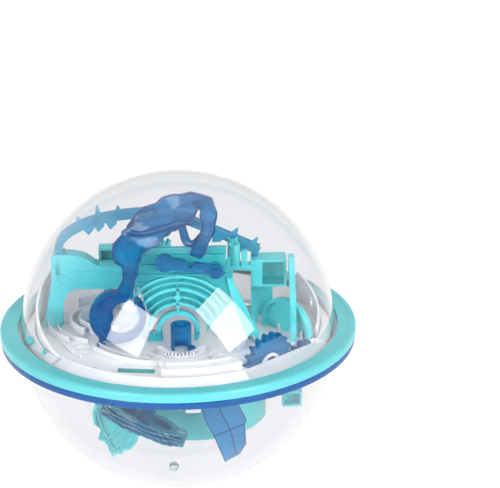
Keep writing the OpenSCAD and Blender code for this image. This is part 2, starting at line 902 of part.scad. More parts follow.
module gear_bracket() {
  color(white)
    under_deck() gear_frame()
      difference() {
        upright(bracket_y, bracket_t) polygon([
          [-7, 2.5], [small_x + 5.5, 2.5], [small_x + 5.5, small_z - 5], [small_x - 5, small_z - 5],
          [8, -8], [-7, -8]]);
        for (spot = [[0, 0], [small_x, small_z]])
          y_pin(spot[0], bracket_y - 1, spot[1], axle_r, bracket_t + 2);
      }
}

// A white C-shaped ring set into the large gear's face round its hub
module gear_clip() {
  color(white)
    under_deck() gear_frame()
      translate([0, -gear_t / 2, 0]) rotate([90, 0, 0])
        rotate([0, 0, -60]) rotate_extrude(angle = 280) translate([5.6, 0]) square([2, 1.2]);
}

// Room round both gears, in the frame of the pieces that stand on the plate
module gear_room() {
  play = 1;
  translate([0, 0, -plate_t / maze_scale]) gear_frame()
    for (spot = [[0, 0, large_r], [small_x, small_z, small_r]])
      y_pin(spot[0], -gear_t / 2 - gear_hub_t - play, spot[1],
        spot[2] + gear_module + play, gear_t + gear_hub_t + 2 * play);
}

// The slot that both gears turn in, wide enough for the heads of their pins
module gear_slot() {
  play = 1.4;
  front = gear_t / 2 + gear_hub_t + side_gap + pin_head_t + play / 2;
  translate([gear_mid[0], gear_mid[1], 0]) rotate([0, 0, gear_turn])
    translate([-large_r - gear_module - play, -front, 0])
      cube([large_r + 2 * gear_module + small_x + small_r + 2 * play, front + gear_t / 2 + play, far]);
}

// ---- hanging pieces ------------------------------------------------------

wheel_mid = [-21.5, -52, -36.2];
wheel_tilt = [-14, 24.6, 0];
wheel_t = (2 * wheel_flanges - 1) * wheel_step;
wheel_half = wheel_t / 2;

module wheel_frame() {
  translate(wheel_mid) rotate(wheel_tilt) children();
}

module toothed_disc(r, teeth, h) {
  tooth = 2;
  step = 360 / teeth;
  linear_extrude(h)
    polygon([for (k = [0 : teeth - 1], c = [[r - tooth, 0], [r, 0.2], [r, 0.5], [r - tooth, 0.7]])
      [c[0] * cos((k + c[1]) * step), c[0] * sin((k + c[1]) * step)]]);
}

module striped_wheel() {
  groove = 3.5;
  color(blue)
    under_deck() wheel_frame()
      difference() {
        union() {
          for (i = [0 : wheel_flanges - 1])
            translate([0, 0, -wheel_half + 2 * i * wheel_step])
              rotate([0, 0, i * 3]) toothed_disc(wheel_r, wheel_teeth, wheel_step);
          translate([0, 0, -wheel_half]) cylinder(r = wheel_r - groove, h = wheel_t);
        }
        translate([0, 0, -wheel_half - 1]) cylinder(r = axle_r + running_gap, h = wheel_t + 2);
        for (i = [0 : 4])
          rotate([0, 0, i * 72]) translate([wheel_r * 0.52, 0, -wheel_half - 1])
            cylinder(r = wheel_r * 0.17, h = wheel_t + 2, $fn = 48);
      }
}

module wheel_pin() {
  head_t = 1.2;
  grip = 8;
  color(steel)
    under_deck() wheel_frame() {
      translate([0, 0, -wheel_half - side_gap]) cylinder(r = axle_r, h = wheel_t + 2 * side_gap + grip);
      translate([0, 0, -wheel_half - side_gap - head_t]) cylinder(r = axle_r + 1.5, h = head_t);
    }
}

module wheel_hanger() {
  hanger_r = 4;
  grip = 8;
  color(white)
    under_deck()
      difference() {
        wheel_frame()
          difference() {
            translate([0, 0, wheel_half + side_gap]) cylinder(r = hanger_r, h = 60);
            translate([0, 0, wheel_half]) cylinder(r = axle_r, h = grip + side_gap);
          }
        translate([-far / 2, -far / 2, 0]) cube([far, far, far]);
      }
}

// A leaf-shaped scoop on a stem
module leaf_scoop() {
  leaf_y = -21;
  leaf_t = 4;
  color(teal)
    under_deck() {
      difference() {
        upright(leaf_y, leaf_t) leaf_outline(0);
        upright(leaf_y - 1, leaf_t - wall + 1) leaf_outline(wall);
      }
      translate([-47, leaf_y, -36]) cube([7, leaf_t, 36]);
    }
}

// Outline of the leaf, drawn in by inset
module leaf_outline(inset) {
  lobes = [[-45, -42, 7.5], [-38, -48, 10.5], [-32, -46, 8]];
  union() {
    for (lobe = lobes)
      translate([lobe[0], lobe[1]]) circle(r = lobe[2] - inset);
    polygon([[-50.5 + inset * 1.3, -46], [-27 - inset * 1.3, -52], [-40.4, -72.5 + inset * 2.6]]);
  }
}

bowl_mid = [8, 22];
bowl_r = 47;
bowl_low = -62;
bowl_high = -27;

// A round hanging wall with a floor lip and three posts
module bowl_wall() {
  lip = 6;
  window = [9, 6];
  post = [3, 5];
  color(teal)
    under_deck()
      difference() {
        translate([bowl_mid[0], bowl_mid[1], 0]) {
          rotate([0, 0, 195])
            rotate_extrude(angle = 150) polygon([
              [bowl_r - lip, bowl_low], [bowl_r, bowl_low], [bowl_r, bowl_high],
              [bowl_r - wall, bowl_high], [bowl_r - wall, bowl_low + wall], [bowl_r - lip, bowl_low + wall]]);
          for (turn = [205, 268, 335])
            rotate([0, 0, turn])
              translate([bowl_r - wall / 2 - post[0], -post[1] / 2, bowl_high - post[1]])
                cube([post[0], post[1], post[1] - bowl_high]);
        }
        translate([3.5, -far, -44]) cube([window[0], far, window[1]]);
      }
}

module chute_outline() {
  polygon([[15, 0], [30, 0], [31, -26], [42, -32], [42, -48], [38, -55.5], [30, -62.5], [15, -28]]);
}

module chute_bore() {
  polygon([
    [15 + wall, 1], [30 - wall, 1], [31 - wall, -27], [42 - wall, -33], [42 - wall, -48.5],
    [40, -60], [30, -66], [15 + wall, -28.5]]);
}

// A blue box chute that steps sideways as it drops
module chute() {
  chute_y = -56;
  chute_depth = 12;
  color(blue)
    under_deck()
      difference() {
        upright(chute_y, chute_depth) chute_outline();
        upright(chute_y + wall, chute_depth - 2 * wall) chute_bore();
      }
}

// A tray under the long slot
module slot_tray() {
  tray = [26, 12, 9];
  color(teal)
    under_deck()
      translate([slot_mid[0], slot_mid[1], 0]) rotate([0, 0, -8])
        translate([-tray[0] / 2, -tray[1] / 2, -tray[2]])
          difference() {
            cube(tray);
            translate([wall, wall, wall]) cube([tray[0] - 2 * wall, tray[1] - 2 * wall, tray[2]]);
          }
}

module hanging_block() {
  color(teal)
    under_deck() {
      translate([62, -22, -42]) difference() {
        cube([12, 8, 10]);
        translate([wall, -1, wall]) cube([12 - 2 * wall, 8 - wall + 1, 10 - 2 * wall]);
      }
      translate([64, -20, -32]) cube([4, 4, 32]);
    }
}

module steel_ball() {
  color(steel)
    translate([0, 0, -deck])
      rotate([-ball_forward, ball_left, 0])
        translate([0, 0, ball_gap + ball_r - shell_in])
          sphere(r = ball_r);
}

upper_shell();
lower_shell();
upper_rim();
lower_rim();
rim_screws();
maze_plate();
plate_screws();
left_fence();
right_fence();
raised_track();
cup_wall();
picket_ring();
zigzag_fence();
left_arch();
spiked_rail();
fan_grille();
fan_strut();
rear_block();
twist_track();
loop_channel();
loop_pin();
lever();
lever_pin();
pipe_cluster();
corner_box();
right_fin();
hood_disc();
center_tube();
tube_outlet();
large_gear();
small_gear();
gear_pins();
gear_bracket();
gear_clip();
leaf_scoop();
striped_wheel();
wheel_pin();
wheel_hanger();
bowl_wall();
chute();
slot_tray();
hanging_block();
steel_ball();
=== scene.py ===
# Maze ball puzzle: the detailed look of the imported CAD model.
# Metres, +Z square to the ring, -Y the front, origin at the centre of the sphere.
# Shapes below are written in millimetres and scaled once, where a piece is made.
import json
from math import cos, degrees, pi, radians, sin

import bmesh
import bpy
from mathutils import Matrix, Vector


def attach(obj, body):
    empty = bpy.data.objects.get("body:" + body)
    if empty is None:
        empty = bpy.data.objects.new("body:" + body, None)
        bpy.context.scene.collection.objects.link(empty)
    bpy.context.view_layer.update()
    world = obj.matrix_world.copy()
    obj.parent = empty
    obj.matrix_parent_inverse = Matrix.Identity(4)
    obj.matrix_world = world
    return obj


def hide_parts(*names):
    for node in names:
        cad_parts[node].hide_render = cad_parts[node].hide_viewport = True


MM = 0.001
# Height of the plate's top, and of each shell's flange, above and below the middle
DECK = 1.5
SHELL_R = 95
SHELL_IN = 93
FLANGE_R = 103
FLANGE_T = 1.6

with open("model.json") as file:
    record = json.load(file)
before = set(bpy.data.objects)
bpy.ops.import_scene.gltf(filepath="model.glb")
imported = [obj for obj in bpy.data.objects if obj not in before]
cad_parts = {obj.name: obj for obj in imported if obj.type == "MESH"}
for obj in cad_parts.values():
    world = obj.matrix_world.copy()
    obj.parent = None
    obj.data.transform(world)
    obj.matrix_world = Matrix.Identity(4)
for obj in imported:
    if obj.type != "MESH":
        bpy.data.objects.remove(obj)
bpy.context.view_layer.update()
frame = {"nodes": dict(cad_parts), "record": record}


# ---- materials ---------------------------------------------------------------


class Finish:
    """A procedural plastic or metal on a Principled shader, with object coordinates to vary it."""

    def __init__(self, name):
        self.material = bpy.data.materials.new(name)
        self.material.use_nodes = True
        self.tree = self.material.node_tree
        self.shader = self.tree.nodes["Principled BSDF"]
        self.output = self.tree.nodes["Material Output"]
        self.place = self.tree.nodes.new("ShaderNodeTexCoord").outputs["Object"]

    def noise(self, scale, detail=3.0):
        """A noise over the surface; scale is in waves per metre."""
        node = self.tree.nodes.new("ShaderNodeTexNoise")
        node.inputs["Scale"].default_value = scale
        node.inputs["Detail"].default_value = detail
        self.tree.links.new(self.place, node.inputs["Vector"])
        return node.outputs["Fac"]

    def vary_colour(self, low, high, scale):
        """The base colour drifts between two close tones."""
        ramp = self.tree.nodes.new("ShaderNodeValToRGB")
        ramp.color_ramp.elements[0].position = 0.3
        ramp.color_ramp.elements[0].color = (*low, 1)
        ramp.color_ramp.elements[1].position = 0.7
        ramp.color_ramp.elements[1].color = (*high, 1)
        self.tree.links.new(self.noise(scale), ramp.inputs["Fac"])
        self.tree.links.new(ramp.outputs["Color"], self.shader.inputs["Base Color"])

    def vary_roughness(self, low, high, scale):
        """The roughness drifts between two values."""
        spread = self.tree.nodes.new("ShaderNodeMapRange")
        spread.inputs["From Min"].default_value = 0.3
        spread.inputs["From Max"].default_value = 0.7
        spread.inputs["To Min"].default_value = low
        spread.inputs["To Max"].default_value = high
        self.tree.links.new(self.noise(scale, 5.0), spread.inputs["Value"])
        self.tree.links.new(spread.outputs["Result"], self.shader.inputs["Roughness"])

    def ripple(self, scale, strength, depth):
        """A fine moulded unevenness; depth is in metres."""
        bump = self.tree.nodes.new("ShaderNodeBump")
        bump.inputs["Strength"].default_value = strength
        bump.inputs["Distance"].default_value = depth
        self.tree.links.new(self.noise(scale), bump.inputs["Height"])
        self.tree.links.new(bump.outputs["Normal"], self.shader.inputs["Normal"])

    def glow_inside(self, weight, reach):
        """Light scatters a little inside the plastic; reach is in metres."""
        self.shader.inputs["Subsurface Weight"].default_value = weight
        self.shader.inputs["Subsurface Radius"].default_value = (1.0, 1.0, 1.0)
        self.shader.inputs["Subsurface Scale"].default_value = reach

    def let_light_through(self, amount, tint):
        """Shadow rays pass the surface with a tint, so that clear pieces cast pale shadows."""
        clear = self.tree.nodes.new("ShaderNodeBsdfTransparent")
        clear.inputs["Color"].default_value = (*tint, 1)
        path = self.tree.nodes.new("ShaderNodeLightPath")
        share = self.tree.nodes.new("ShaderNodeMath")
        share.operation = "MULTIPLY"
        share.inputs[1].default_value = amount
        self.tree.links.new(path.outputs["Is Shadow Ray"], share.inputs[0])
        mix = self.tree.nodes.new("ShaderNodeMixShader")
        self.tree.links.new(share.outputs["Value"], mix.inputs["Fac"])
        self.tree.links.new(self.shader.outputs["BSDF"], mix.inputs[1])
        self.tree.links.new(clear.outputs["BSDF"], mix.inputs[2])
        self.tree.links.new(mix.outputs["Shader"], self.output.inputs["Surface"])


def clear_shell_finish():
    finish = Finish("clear_shell")
    finish.shader.inputs["Transmission Weight"].default_value = 1.0
    finish.shader.inputs["IOR"].default_value = 1.46
    finish.vary_colour((0.865, 0.868, 0.88), (0.885, 0.888, 0.9), 14)
    finish.vary_roughness(0.0, 0.02, 30)
    finish.let_light_through(1.0, (0.97, 0.975, 0.98))
    return finish.material


def opaque_finish(name, low, high, rough, glow):
    finish = Finish(name)
    finish.vary_colour(low, high, 60)
    finish.vary_roughness(rough[0], rough[1], 140)
    finish.ripple(420, 0.1, 0.0001)
    finish.glow_inside(glow, 0.0015)
    finish.shader.inputs["IOR"].default_value = 1.49
    return finish.material


def translucent_finish(name, low, high, transmission, rough, tint):
    finish = Finish(name)
    finish.vary_colour(low, high, 90)
    finish.vary_roughness(rough[0], rough[1], 160)
    finish.ripple(500, 0.25, 0.0001)
    finish.shader.inputs["Transmission Weight"].default_value = transmission
    finish.shader.inputs["IOR"].default_value = 1.46
    finish.let_light_through(0.7, tint)
    return finish.material


def steel_finish():
    finish = Finish("steel")
    finish.vary_colour((0.60, 0.61, 0.63), (0.70, 0.71, 0.73), 300)
    finish.vary_roughness(0.08, 0.16, 500)
    finish.shader.inputs["Metallic"].default_value = 1.0
    return finish.material


# The finishes by name; the CAD nodes find theirs by the name of their material slot
FINISHES = {
    "ring_turquoise": opaque_finish(
        "ring_turquoise", (0.11, 0.54, 0.58), (0.12, 0.57, 0.61), (0.32, 0.35), 0.1),
    "solid_blue": opaque_finish(
        "solid_blue", (0.0, 0.15, 0.36), (0.0, 0.20, 0.43), (0.28, 0.36), 0.05),
    # Near black blue for tubes along edges and folds: painted shade where the blue plastic darkens there
    "edge_blue": opaque_finish(
        "edge_blue", (0.0, 0.03, 0.15), (0.0, 0.045, 0.2), (0.28, 0.36), 0.0),
    # A darker copy of turquoise_plastic: painted shade for the fan's recesses and the inside of the tray
    "fan_turquoise": opaque_finish(
        "fan_turquoise", (0.025, 0.34, 0.36), (0.035, 0.39, 0.41), (0.26, 0.36), 0.1),
    "clear_shell": clear_shell_finish(),
    "white_plastic": opaque_finish(
        "white_plastic", (0.66, 0.66, 0.68), (0.72, 0.72, 0.735), (0.30, 0.42), 0.15),
    "turquoise_plastic": opaque_finish(
        "turquoise_plastic", (0.07, 0.50, 0.53), (0.095, 0.57, 0.60), (0.26, 0.36), 0.2),
    "clear_blue_plastic": translucent_finish(
        "clear_blue_plastic", (0.0, 0.16, 0.38), (0.002, 0.27, 0.52), 0.6, (0.06, 0.13), (0.25, 0.55, 0.9)),
    "deep_blue_plastic": translucent_finish(
        "deep_blue_plastic", (0.0, 0.08, 0.28), (0.001, 0.15, 0.40), 0.5, (0.06, 0.13), (0.15, 0.4, 0.85)),
    "light_blue_plastic": translucent_finish(
        "light_blue_plastic", (0.02, 0.34, 0.52), (0.04, 0.42, 0.60), 0.55, (0.08, 0.15), (0.5, 0.8, 0.95)),
    "rim_blue_plastic": opaque_finish(
        "rim_blue_plastic", (0.0, 0.075, 0.27), (0.0, 0.09, 0.32), (0.20, 0.30), 0.05),
    "steel": steel_finish(),
}


# ---- making pieces -----------------------------------------------------------


def soften(piece, width, segments=2):
    """Welds the mesh and rounds its hard edges by width, in mm."""
    weld = piece.modifiers.new("weld", "WELD")
    weld.merge_threshold = 0.00001
    bevel = piece.modifiers.new("bevel", "BEVEL")
    bevel.width = width * MM
    bevel.segments = segments
    bevel.limit_method = "ANGLE"
    bevel.angle_limit = radians(32)
    bevel.use_clamp_overlap = True
    bevel.harden_normals = True


def add_piece(name, points, faces, finish, body="case", stands_for=(), crease=32, round_by=0):
    """A mesh from points in mm, finished, riding on its body."""
    mesh = bpy.data.meshes.new(name)
    bm = bmesh.new()
    corners = [bm.verts.new(Vector(p) * MM) for p in points]
    for face in faces:
        bm.faces.new([corners[i] for i in face])
    bmesh.ops.remove_doubles(bm, verts=bm.verts, dist=0.000001)
    bmesh.ops.recalc_face_normals(bm, faces=bm.faces)
    bm.to_mesh(mesh)
    bm.free()
    for polygon in mesh.polygons:
        polygon.use_smooth = True
    mesh.set_sharp_from_angle(angle=radians(crease))
    mesh.materials.append(FINISHES[finish])
    piece = bpy.data.objects.new(name, mesh)
    bpy.context.scene.collection.objects.link(piece)
    if round_by:
        soften(piece, round_by)
    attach(piece, body)
    if stands_for:
        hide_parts(*stands_for)
    return piece


# ---- shapes ------------------------------------------------------------------


def lathe(outline, steps, start=0.0, end=360.0):
    """Points and faces of a closed outline of (r, z) turned about Z."""
    closed = end - start >= 360
    turns = steps if closed else steps + 1
    count = len(outline)
    points = []
    for i in range(turns):
        a = radians(start + (end - start) * i / steps)
        points += [(r * cos(a), r * sin(a), z) for r, z in outline]
    faces = []
    for i in range(steps):
        near, far = i * count, ((i + 1) % turns) * count
        for j in range(count):
            k = (j + 1) % count
            faces.append((near + j, far + j, far + k, near + k))
    if not closed:
        faces.append(tuple(range(count)))
        faces.append(tuple(reversed(range((turns - 1) * count, turns * count))))
    return points, faces


def arc(centre_r, centre_z, radius, start, end, steps):
    """Points of an arc in (r, z), with angles from +r towards +z."""
    return [
        (centre_r + radius * cos(radians(start + (end - start) * i / steps)),
         centre_z + radius * sin(radians(start + (end - start) * i / steps)))
        for i in range(steps + 1)]


def spline(rows, steps):
    """A smooth run through rows of numbers, with the given steps between neighbours."""
    last = len(rows) - 1
    run = []
    for i in range(last):
        a, b, c, d = (Vector(rows[min(max(i + k, 0), last)]) for k in (-1, 0, 1, 2))
        for s in range(steps):
            t = s / steps
            run.append(0.5 * (
                2 * b + (c - a) * t + (2 * a - 5 * b + 4 * c - d) * t * t
                + (3 * b - a - 3 * c + d) * t ** 3))
    run.append(Vector(rows[last]))
    return run


def skin(rings, ends=True):
    """Points and faces through equal rings of points, with its ends closed unless they meet."""
    count = len(rings[0])
    last = (len(rings) - 1) * count
    faces = [tuple(range(count)), tuple(reversed(range(last, last + count)))] if ends else []
    for i in range(len(rings) - 1):
        for j in range(count):
            k = (j + 1) % count
            faces.append((i * count + j, i * count + k, (i + 1) * count + k, (i + 1) * count + j))
    return [p for ring in rings for p in ring], faces


def slab(outline, shift):
    """A flat outline given thickness along shift."""
    count = len(outline)
    points = [Vector(p) for p in outline] + [Vector(p) + Vector(shift) for p in outline]
    faces = [tuple(range(count)), tuple(reversed(range(count, 2 * count)))]
    for j in range(count):
        k = (j + 1) % count
        faces.append((j, k, count + k, count + j))
    return points, faces


def joined(*shapes):
    """Several shapes as one list of points and faces."""
    points, faces = [], []
    for more_points, more_faces in shapes:
        start = len(points)
        points += list(more_points)
        faces += [tuple(start + i for i in face) for face in more_faces]
    return points, faces


def tube(path, radius, sides=10, steps=4):
    """A round rod along a path."""
    run = spline(path, steps)
    rings = []
    for i, place in enumerate(run):
        along = (run[min(i + 1, len(run) - 1)] - run[max(i - 1, 0)]).normalized()
        side = along.orthogonal().normalized() if i == 0 else (side - along * side.dot(along)).normalized()
        up = along.cross(side)
        rings.append([
            place + radius * (side * cos(2 * pi * j / sides) + up * sin(2 * pi * j / sides))
            for j in range(sides)])
    return skin(rings)


# ---- shells and ring ---------------------------------------------------------


def shell_outline(side):
    """Half of the sphere with its flange: side is 1 for the top and -1 for the bottom."""
    outer_low = degrees(FLANGE_T / SHELL_R)
    outer = arc(0, 0, SHELL_R, outer_low, 89.8, 60)
    inner = arc(0, 0, SHELL_IN, 89.8, 0, 60)
    flange = [(FLANGE_R, 0), (FLANGE_R, FLANGE_T)]
    return [(r, side * (z + DECK)) for r, z in flange + outer + [(0, SHELL_R), (0, SHELL_IN)] + inner]


def shells():
    """Both clear halves, each turned about the vertical axis."""
    for name, side, node in (("shell_top", 1, "upper_shell"), ("shell_bottom", -1, "lower_shell")):
        points, faces = lathe(shell_outline(side), 128)
        faces = [face for face in faces if len({points[i] for i in face}) > 2]
        add_piece(name, points, faces, "clear_shell", stands_for=(node,))


def ring_top():
    """The upper ring: a wide rounded crown, a step and a thin inner lip."""
    outline = [(103.1, 0.075), (107.5, 0.075), (107.5, 3.6)]
    outline += arc(105.7, 3.7, 1.8, 0, 90, 8)
    outline += [(103.6, 5.45), (103.2, 5.15)]
    outline += [(97.4, 5.05)] + arc(97.2, 4.45, 0.6, 90, 180, 4)
    outline += [(96.6, 3.2), (103.1, 3.2)]
    points, faces = lathe(outline, 192)
    add_piece("ring_top", points, faces, "ring_turquoise", stands_for=("upper_rim",))


# ---- twisting track ----------------------------------------------------------

# Upper and lower edge of the folded band, from the loop over the top to its drop
TRACK_EDGES = [
    ((-35.5, -28, 36.5), (-27.5, -28, 33.5)), ((-32, -28.5, 46), (-24.5, -28.5, 45)),
    ((-31.5, -28.5, 51.5), (-23, -28.5, 51.5)), ((-35.5, -28, 55.5), (-22, -28, 56.5)),
    ((-38, -27, 62), (-20, -27, 60.5)), ((-34, -25.5, 69), (-16.5, -25.5, 62)),
    ((-31.5, -24, 72), (-13, -24, 63)), ((-26.5, -21, 75), (-8, -21, 66.5)),
    ((-22.5, -17, 80), (-5, -17, 67.5)), ((-17.5, -13, 82.5), (-2.5, -13, 68)),
    ((-13, -10, 84.5), (1, -10, 69)), ((-3, -4, 87.5), (6, -4, 71)),
    ((9, -1, 87.5), (10, -1, 73.5)), ((21, -1, 85), (12.5, -1, 77))]
DROP_EDGES = [
    ((20.5, -2, 84.5), (10.5, -2, 82.5)), ((23.5, -4, 79), (14.5, -4, 76.5)),
    ((23.5, -8, 72), (14.5, -8, 72)), ((22, -14, 66.5), (15, -14, 66)),
    ((17.5, -22, 61), (11, -22, 64)), ((13.5, -28.5, 56), (7.5, -28.5, 58.5))]
HOOK_EDGES = [
    ((1, -11, 70.5), (5, -11, 70)), ((2.5, -14.5, 65.5), (6.5, -14.5, 66)),
    ((5, -17.5, 61), (8.5, -17.5, 63.5)), ((11, -18, 61.5), (10.5, -18, 65)),
    ((16, -15, 65.5), (14, -15, 68))]
STRAND_EDGES = [
    ((-26.5, -28.5, 75.5), (-27, -28.5, 73)), ((-21, -27.5, 74), (-21.5, -27.5, 71.5)),
    ((-15, -25.5, 74.5), (-15, -25.5, 71.5)), ((-9, -22, 75), (-8.5, -22, 72)),
    ((-3, -18, 75.5), (-2.5, -18, 72.5)), ((3, -13, 75), (3, -13, 72)), ((8, -9, 73.5), (7.5, -9, 71))]
# Thin leaves at the left edge of the track: corners of each
TRACK_LEAVES = [
    [(-29, -22, 74.5), (-23.4, -21, 82), (-15.5, -18, 77.5), (-20, -20, 73)],
    [(-23.4, -20, 82), (-18.2, -16, 84.6), (-10.5, -13, 80), (-15.5, -17, 77.5)],
    [(-37, -27.5, 60), (-34.5, -26.5, 68.4), (-26, -24, 71), (-25, -25, 65)]]


def band(edges, wall, lip, scallop):
    """A shallow channel between two edges; its lips face the front and its outline steps in and out."""
    run = spline([(*upper, *lower) for upper, lower in edges], 2)
    rings, outlines = [], ([], [])
    for i, row in enumerate(run):
        upper, lower = Vector(row[:3]), Vector(row[3:])
        ahead, behind = run[min(i + 1, len(run) - 1)], run[max(i - 1, 0)]
        step = ahead - behind
        along = (Vector(step[:3]) + Vector(step[3:])).normalized()
        across = (upper - lower).normalized()
        out = across.cross(along).normalized()
        if out.dot(Vector((0, -1, 0.5))) < 0:
            out = -out
        push = scallop * (0.5 - (i % 3) / 2)
        upper, lower = upper + across * push, lower - across * push
        middle = (upper + lower) / 2
        crest = wall + lip * 0.35
        rings.append([
            lower, upper, upper + out * lip, upper - across * wall + out * lip,
            upper - across * wall + out * wall, middle + across * 0.7 + out * wall,
            middle + across * 0.5 + out * crest, middle - across * 0.5 + out * crest,
            middle - across * 0.7 + out * wall, lower + across * wall + out * wall,
            lower + across * wall + out * lip, lower + out * lip])
        outlines[0].append(tuple(upper + out * lip))
        outlines[1].append(tuple(lower + out * lip))
    return skin(rings), outlines


def twist_track():
    """The folded band and its strands, with dark tubes along their edges as painted shade."""
    edges = []
    for name, rows, wall, lip, scallop in (
            ("track_main", TRACK_EDGES, 1.1, 3.4, 1.3), ("track_drop", DROP_EDGES, 1.0, 2.6, 1.0),
            ("track_hook", HOOK_EDGES, 0.8, 1.8, 0), ("track_strand", STRAND_EDGES, 0.7, 1.4, 0.4)):
        body, outlines = band(rows, wall, lip, scallop)
        stands_for = ("twist_track",) if name == "track_main" else ()
        add_piece(name, *body, "clear_blue_plastic", stands_for=stands_for, crease=20, round_by=0.12)
        edges += [tube(line, 0.5, 6, 1) for line in outlines]
    leaves = [slab(corners, (0.4, 0.7, 0.4)) for corners in TRACK_LEAVES]
    add_piece("track_leaves", *joined(*leaves), "clear_blue_plastic", round_by=0.1)
    for corners in TRACK_LEAVES:
        edges.append(tube(corners + corners[:1], 0.4, 6, 1))
    # Dark tubes along the lips and round the leaves: painted shade at the edges of the clear blue plastic
    add_piece("track_edge_shade", *joined(*edges), "edge_blue")


# ---- loop --------------------------------------------------------------------

LOOP_MID = (-35.3, 19.8)
LOOP_R = 16.4
# Angle round the loop and the width of its channel there
LOOP_WIDTHS = [
    (62, 5), (80, 7), (100, 8.5), (125, 11), (150, 13), (180, 13.5), (205, 12.5), (230, 9),
    (255, 5), (285, 4), (320, 4), (350, 4), (380, 4), (405, 3.6)]


def loop_channel():
    """A crescent that is broad at the left, ribbed along its length, and thin at the right."""
    front, back = -31.0, -22.5
    across = 14
    rings = []
    for angle, width in spline(LOOP_WIDTHS, 6):
        ring = []
        for j in range(across + 1):
            t = j / across
            bulge = 1 - (2 * t - 1) ** 2
            groove = 0.55 * (j % 2) * min(width / 8, 1)
            ring.append((LOOP_R - t * width, front + 2.2 - 2.2 * bulge + groove))
        for j in range(across, -1, -2):
            ring.append((LOOP_R - j / across * width, back))
        c, s = cos(radians(angle)), sin(radians(angle))
        rings.append([Vector((LOOP_MID[0] + r * c, y, LOOP_MID[1] + r * s)) for r, y in ring])
    add_piece("loop_body", *skin(rings), "deep_blue_plastic", stands_for=("loop_channel",), round_by=0.15)
    # the lighter outer edge of the broad limb
    rim = []
    for i in range(31):
        angle = radians(100 + 140 * i / 30)
        c, s = cos(angle), sin(angle)
        ring = [
            (LOOP_R - 0.1, front + 2), (LOOP_R + 1, front + 3),
            (LOOP_R + 1, back - 1), (LOOP_R - 0.1, back)]
        rim.append([Vector((LOOP_MID[0] + r * c, y, LOOP_MID[1] + r * s)) for r, y in ring])
    add_piece("loop_rim", *skin(rim), "clear_blue_plastic", round_by=0.15)


# ---- white relief on the plate -----------------------------------------------


def bank(r_in, r_out, high, low, start, end):
    """A broad white edge of the plate that slopes down outwards."""
    outline = [(r_in, DECK + 0.05), (r_out, DECK + 0.05), (r_out, DECK + low)]
    outline += [(r_in + 1.2, DECK + high), (r_in + 0.4, DECK + high - 0.3), (r_in, DECK + high - 1)]
    return lathe(outline, 48, start, end)


def low_arc(centre, radius, start, end, height, width=1.2):
    """A low curved wall on the plate."""
    outline = [
        (radius, DECK + 0.05), (radius + width, DECK + 0.05),
        (radius + width - 0.2, DECK + height), (radius + 0.2, DECK + height)]
    points, faces = lathe(outline, 32, start, end)
    return [(x + centre[0], y + centre[1], z) for x, y, z in points], faces


# Centre, radius, start and end angle, and height of each low wall
LOW_WALLS = [
    ((-44, 4), 34, 150, 232, 4.5), ((-44, 4), 28.5, 160, 250, 3), ((-44, 4), 15, 100, 260, 7),
    ((-44, 4), 9, 150, 330, 3.5), ((0, 0), 72, 200, 218, 3), ((0, 0), 60, 214, 258, 3.5),
    ((0, 0), 54, 210, 262, 2.5), ((1.5, -34), 20, 200, 340, 2.5),
    ((1.5, -34), 27, 215, 330, 3.2), ((28, -30), 12, 300, 470, 5), ((28, -30), 17, 330, 440, 3),
    ((60, 14), 14, 190, 330, 5), ((40, 30), 13, 150, 330, 6), ((0, 0), 76, 342, 372, 4.5),
    ((20, 40), 22, 180, 330, 7), ((-20, 40), 18, 200, 350, 8), ((70, -5), 9, 60, 200, 4)]


def white_relief():
    """The sloping banks at the plate's edge, the low walls and two turquoise plugs."""
    banks = joined(
        bank(83.6, 92.2, 4.4, 1.2, 218, 296), bank(86, 92.2, 3.4, 1.0, 176, 216),
        bank(86, 92.2, 3.4, 1.0, 340, 386))
    add_piece("edge_banks", *banks, "white_plastic", round_by=0.2)
    walls = joined(*[low_arc(*wall) for wall in LOW_WALLS])
    add_piece("low_walls", *walls, "white_plastic", round_by=0.15)
    plugs = []
    for x, y, radius, squash in ((-88.3, -25, 2.6, 1.9), (-78.4, -42, 1.1, 3)):
        ring = [
            (x + radius * cos(2 * pi * j / 20), y + radius * squash * sin(2 * pi * j / 20), DECK + 3.2)
            for j in range(20)]
        plugs.append(slab(ring, (0, 0, 0.9)))
    add_piece("edge_plugs", *joined(*plugs), "turquoise_plastic", round_by=0.1)


# ---- small turquoise details -------------------------------------------------


def crown_boss(x, y, low, high, radius, tooth):
    """An upright post with a toothed rim."""
    steps = 32
    inner, floor, core = radius - 1.1, high - 2, 0.05
    rings = []
    for i in range(steps + 1):
        a = 2 * pi * i / steps
        top = high + (tooth if i % 4 < 2 else 0)
        outline = [(radius, low), (radius, top), (inner, top), (inner, floor), (core, floor), (core, low)]
        rings.append([(x + r * cos(a), y + r * sin(a), z) for r, z in outline])
    return skin(rings, ends=False)


def ring_mark(x, y, z, radius, thick):
    """A small raised ring on a wall that faces the front."""
    path = [
        (x + radius * cos(2 * pi * i / 24), y, z + radius * sin(2 * pi * i / 24))
        for i in range(25)]
    return tube(path, thick, 8, 1)


def turquoise_details():
    """Crowned posts, and the marks on the front of the arch."""
    crowns = joined(
        crown_boss(-7.6, -13.5, 50, 60.5, 4.3, 2.4), crown_boss(22.3, -12, 46, 53.5, 4.6, 1.8),
        crown_boss(33.5, 4, 42, 56.5, 3.2, 0.8))
    add_piece("crown_posts", *crowns, "turquoise_plastic", round_by=0.15)
    mark, face = (-69.2, 2.9, 32.2), 2.95
    marks = joined(
        ring_mark(*mark, 3.3, 0.35), ring_mark(*mark, 1.6, 0.3),
        tube([(-65.6, face, 37), (-52, face, 37.4), (-27, face, 38)], 0.28, 8),
        tube([(-65.4, face, 28.6), (-52, face, 28.8), (-27, face, 29)], 0.45, 8))
    add_piece("arch_marks", *marks, "turquoise_plastic")


# ---- fan and leaf ------------------------------------------------------------

FAN_MID_Z = 7.9
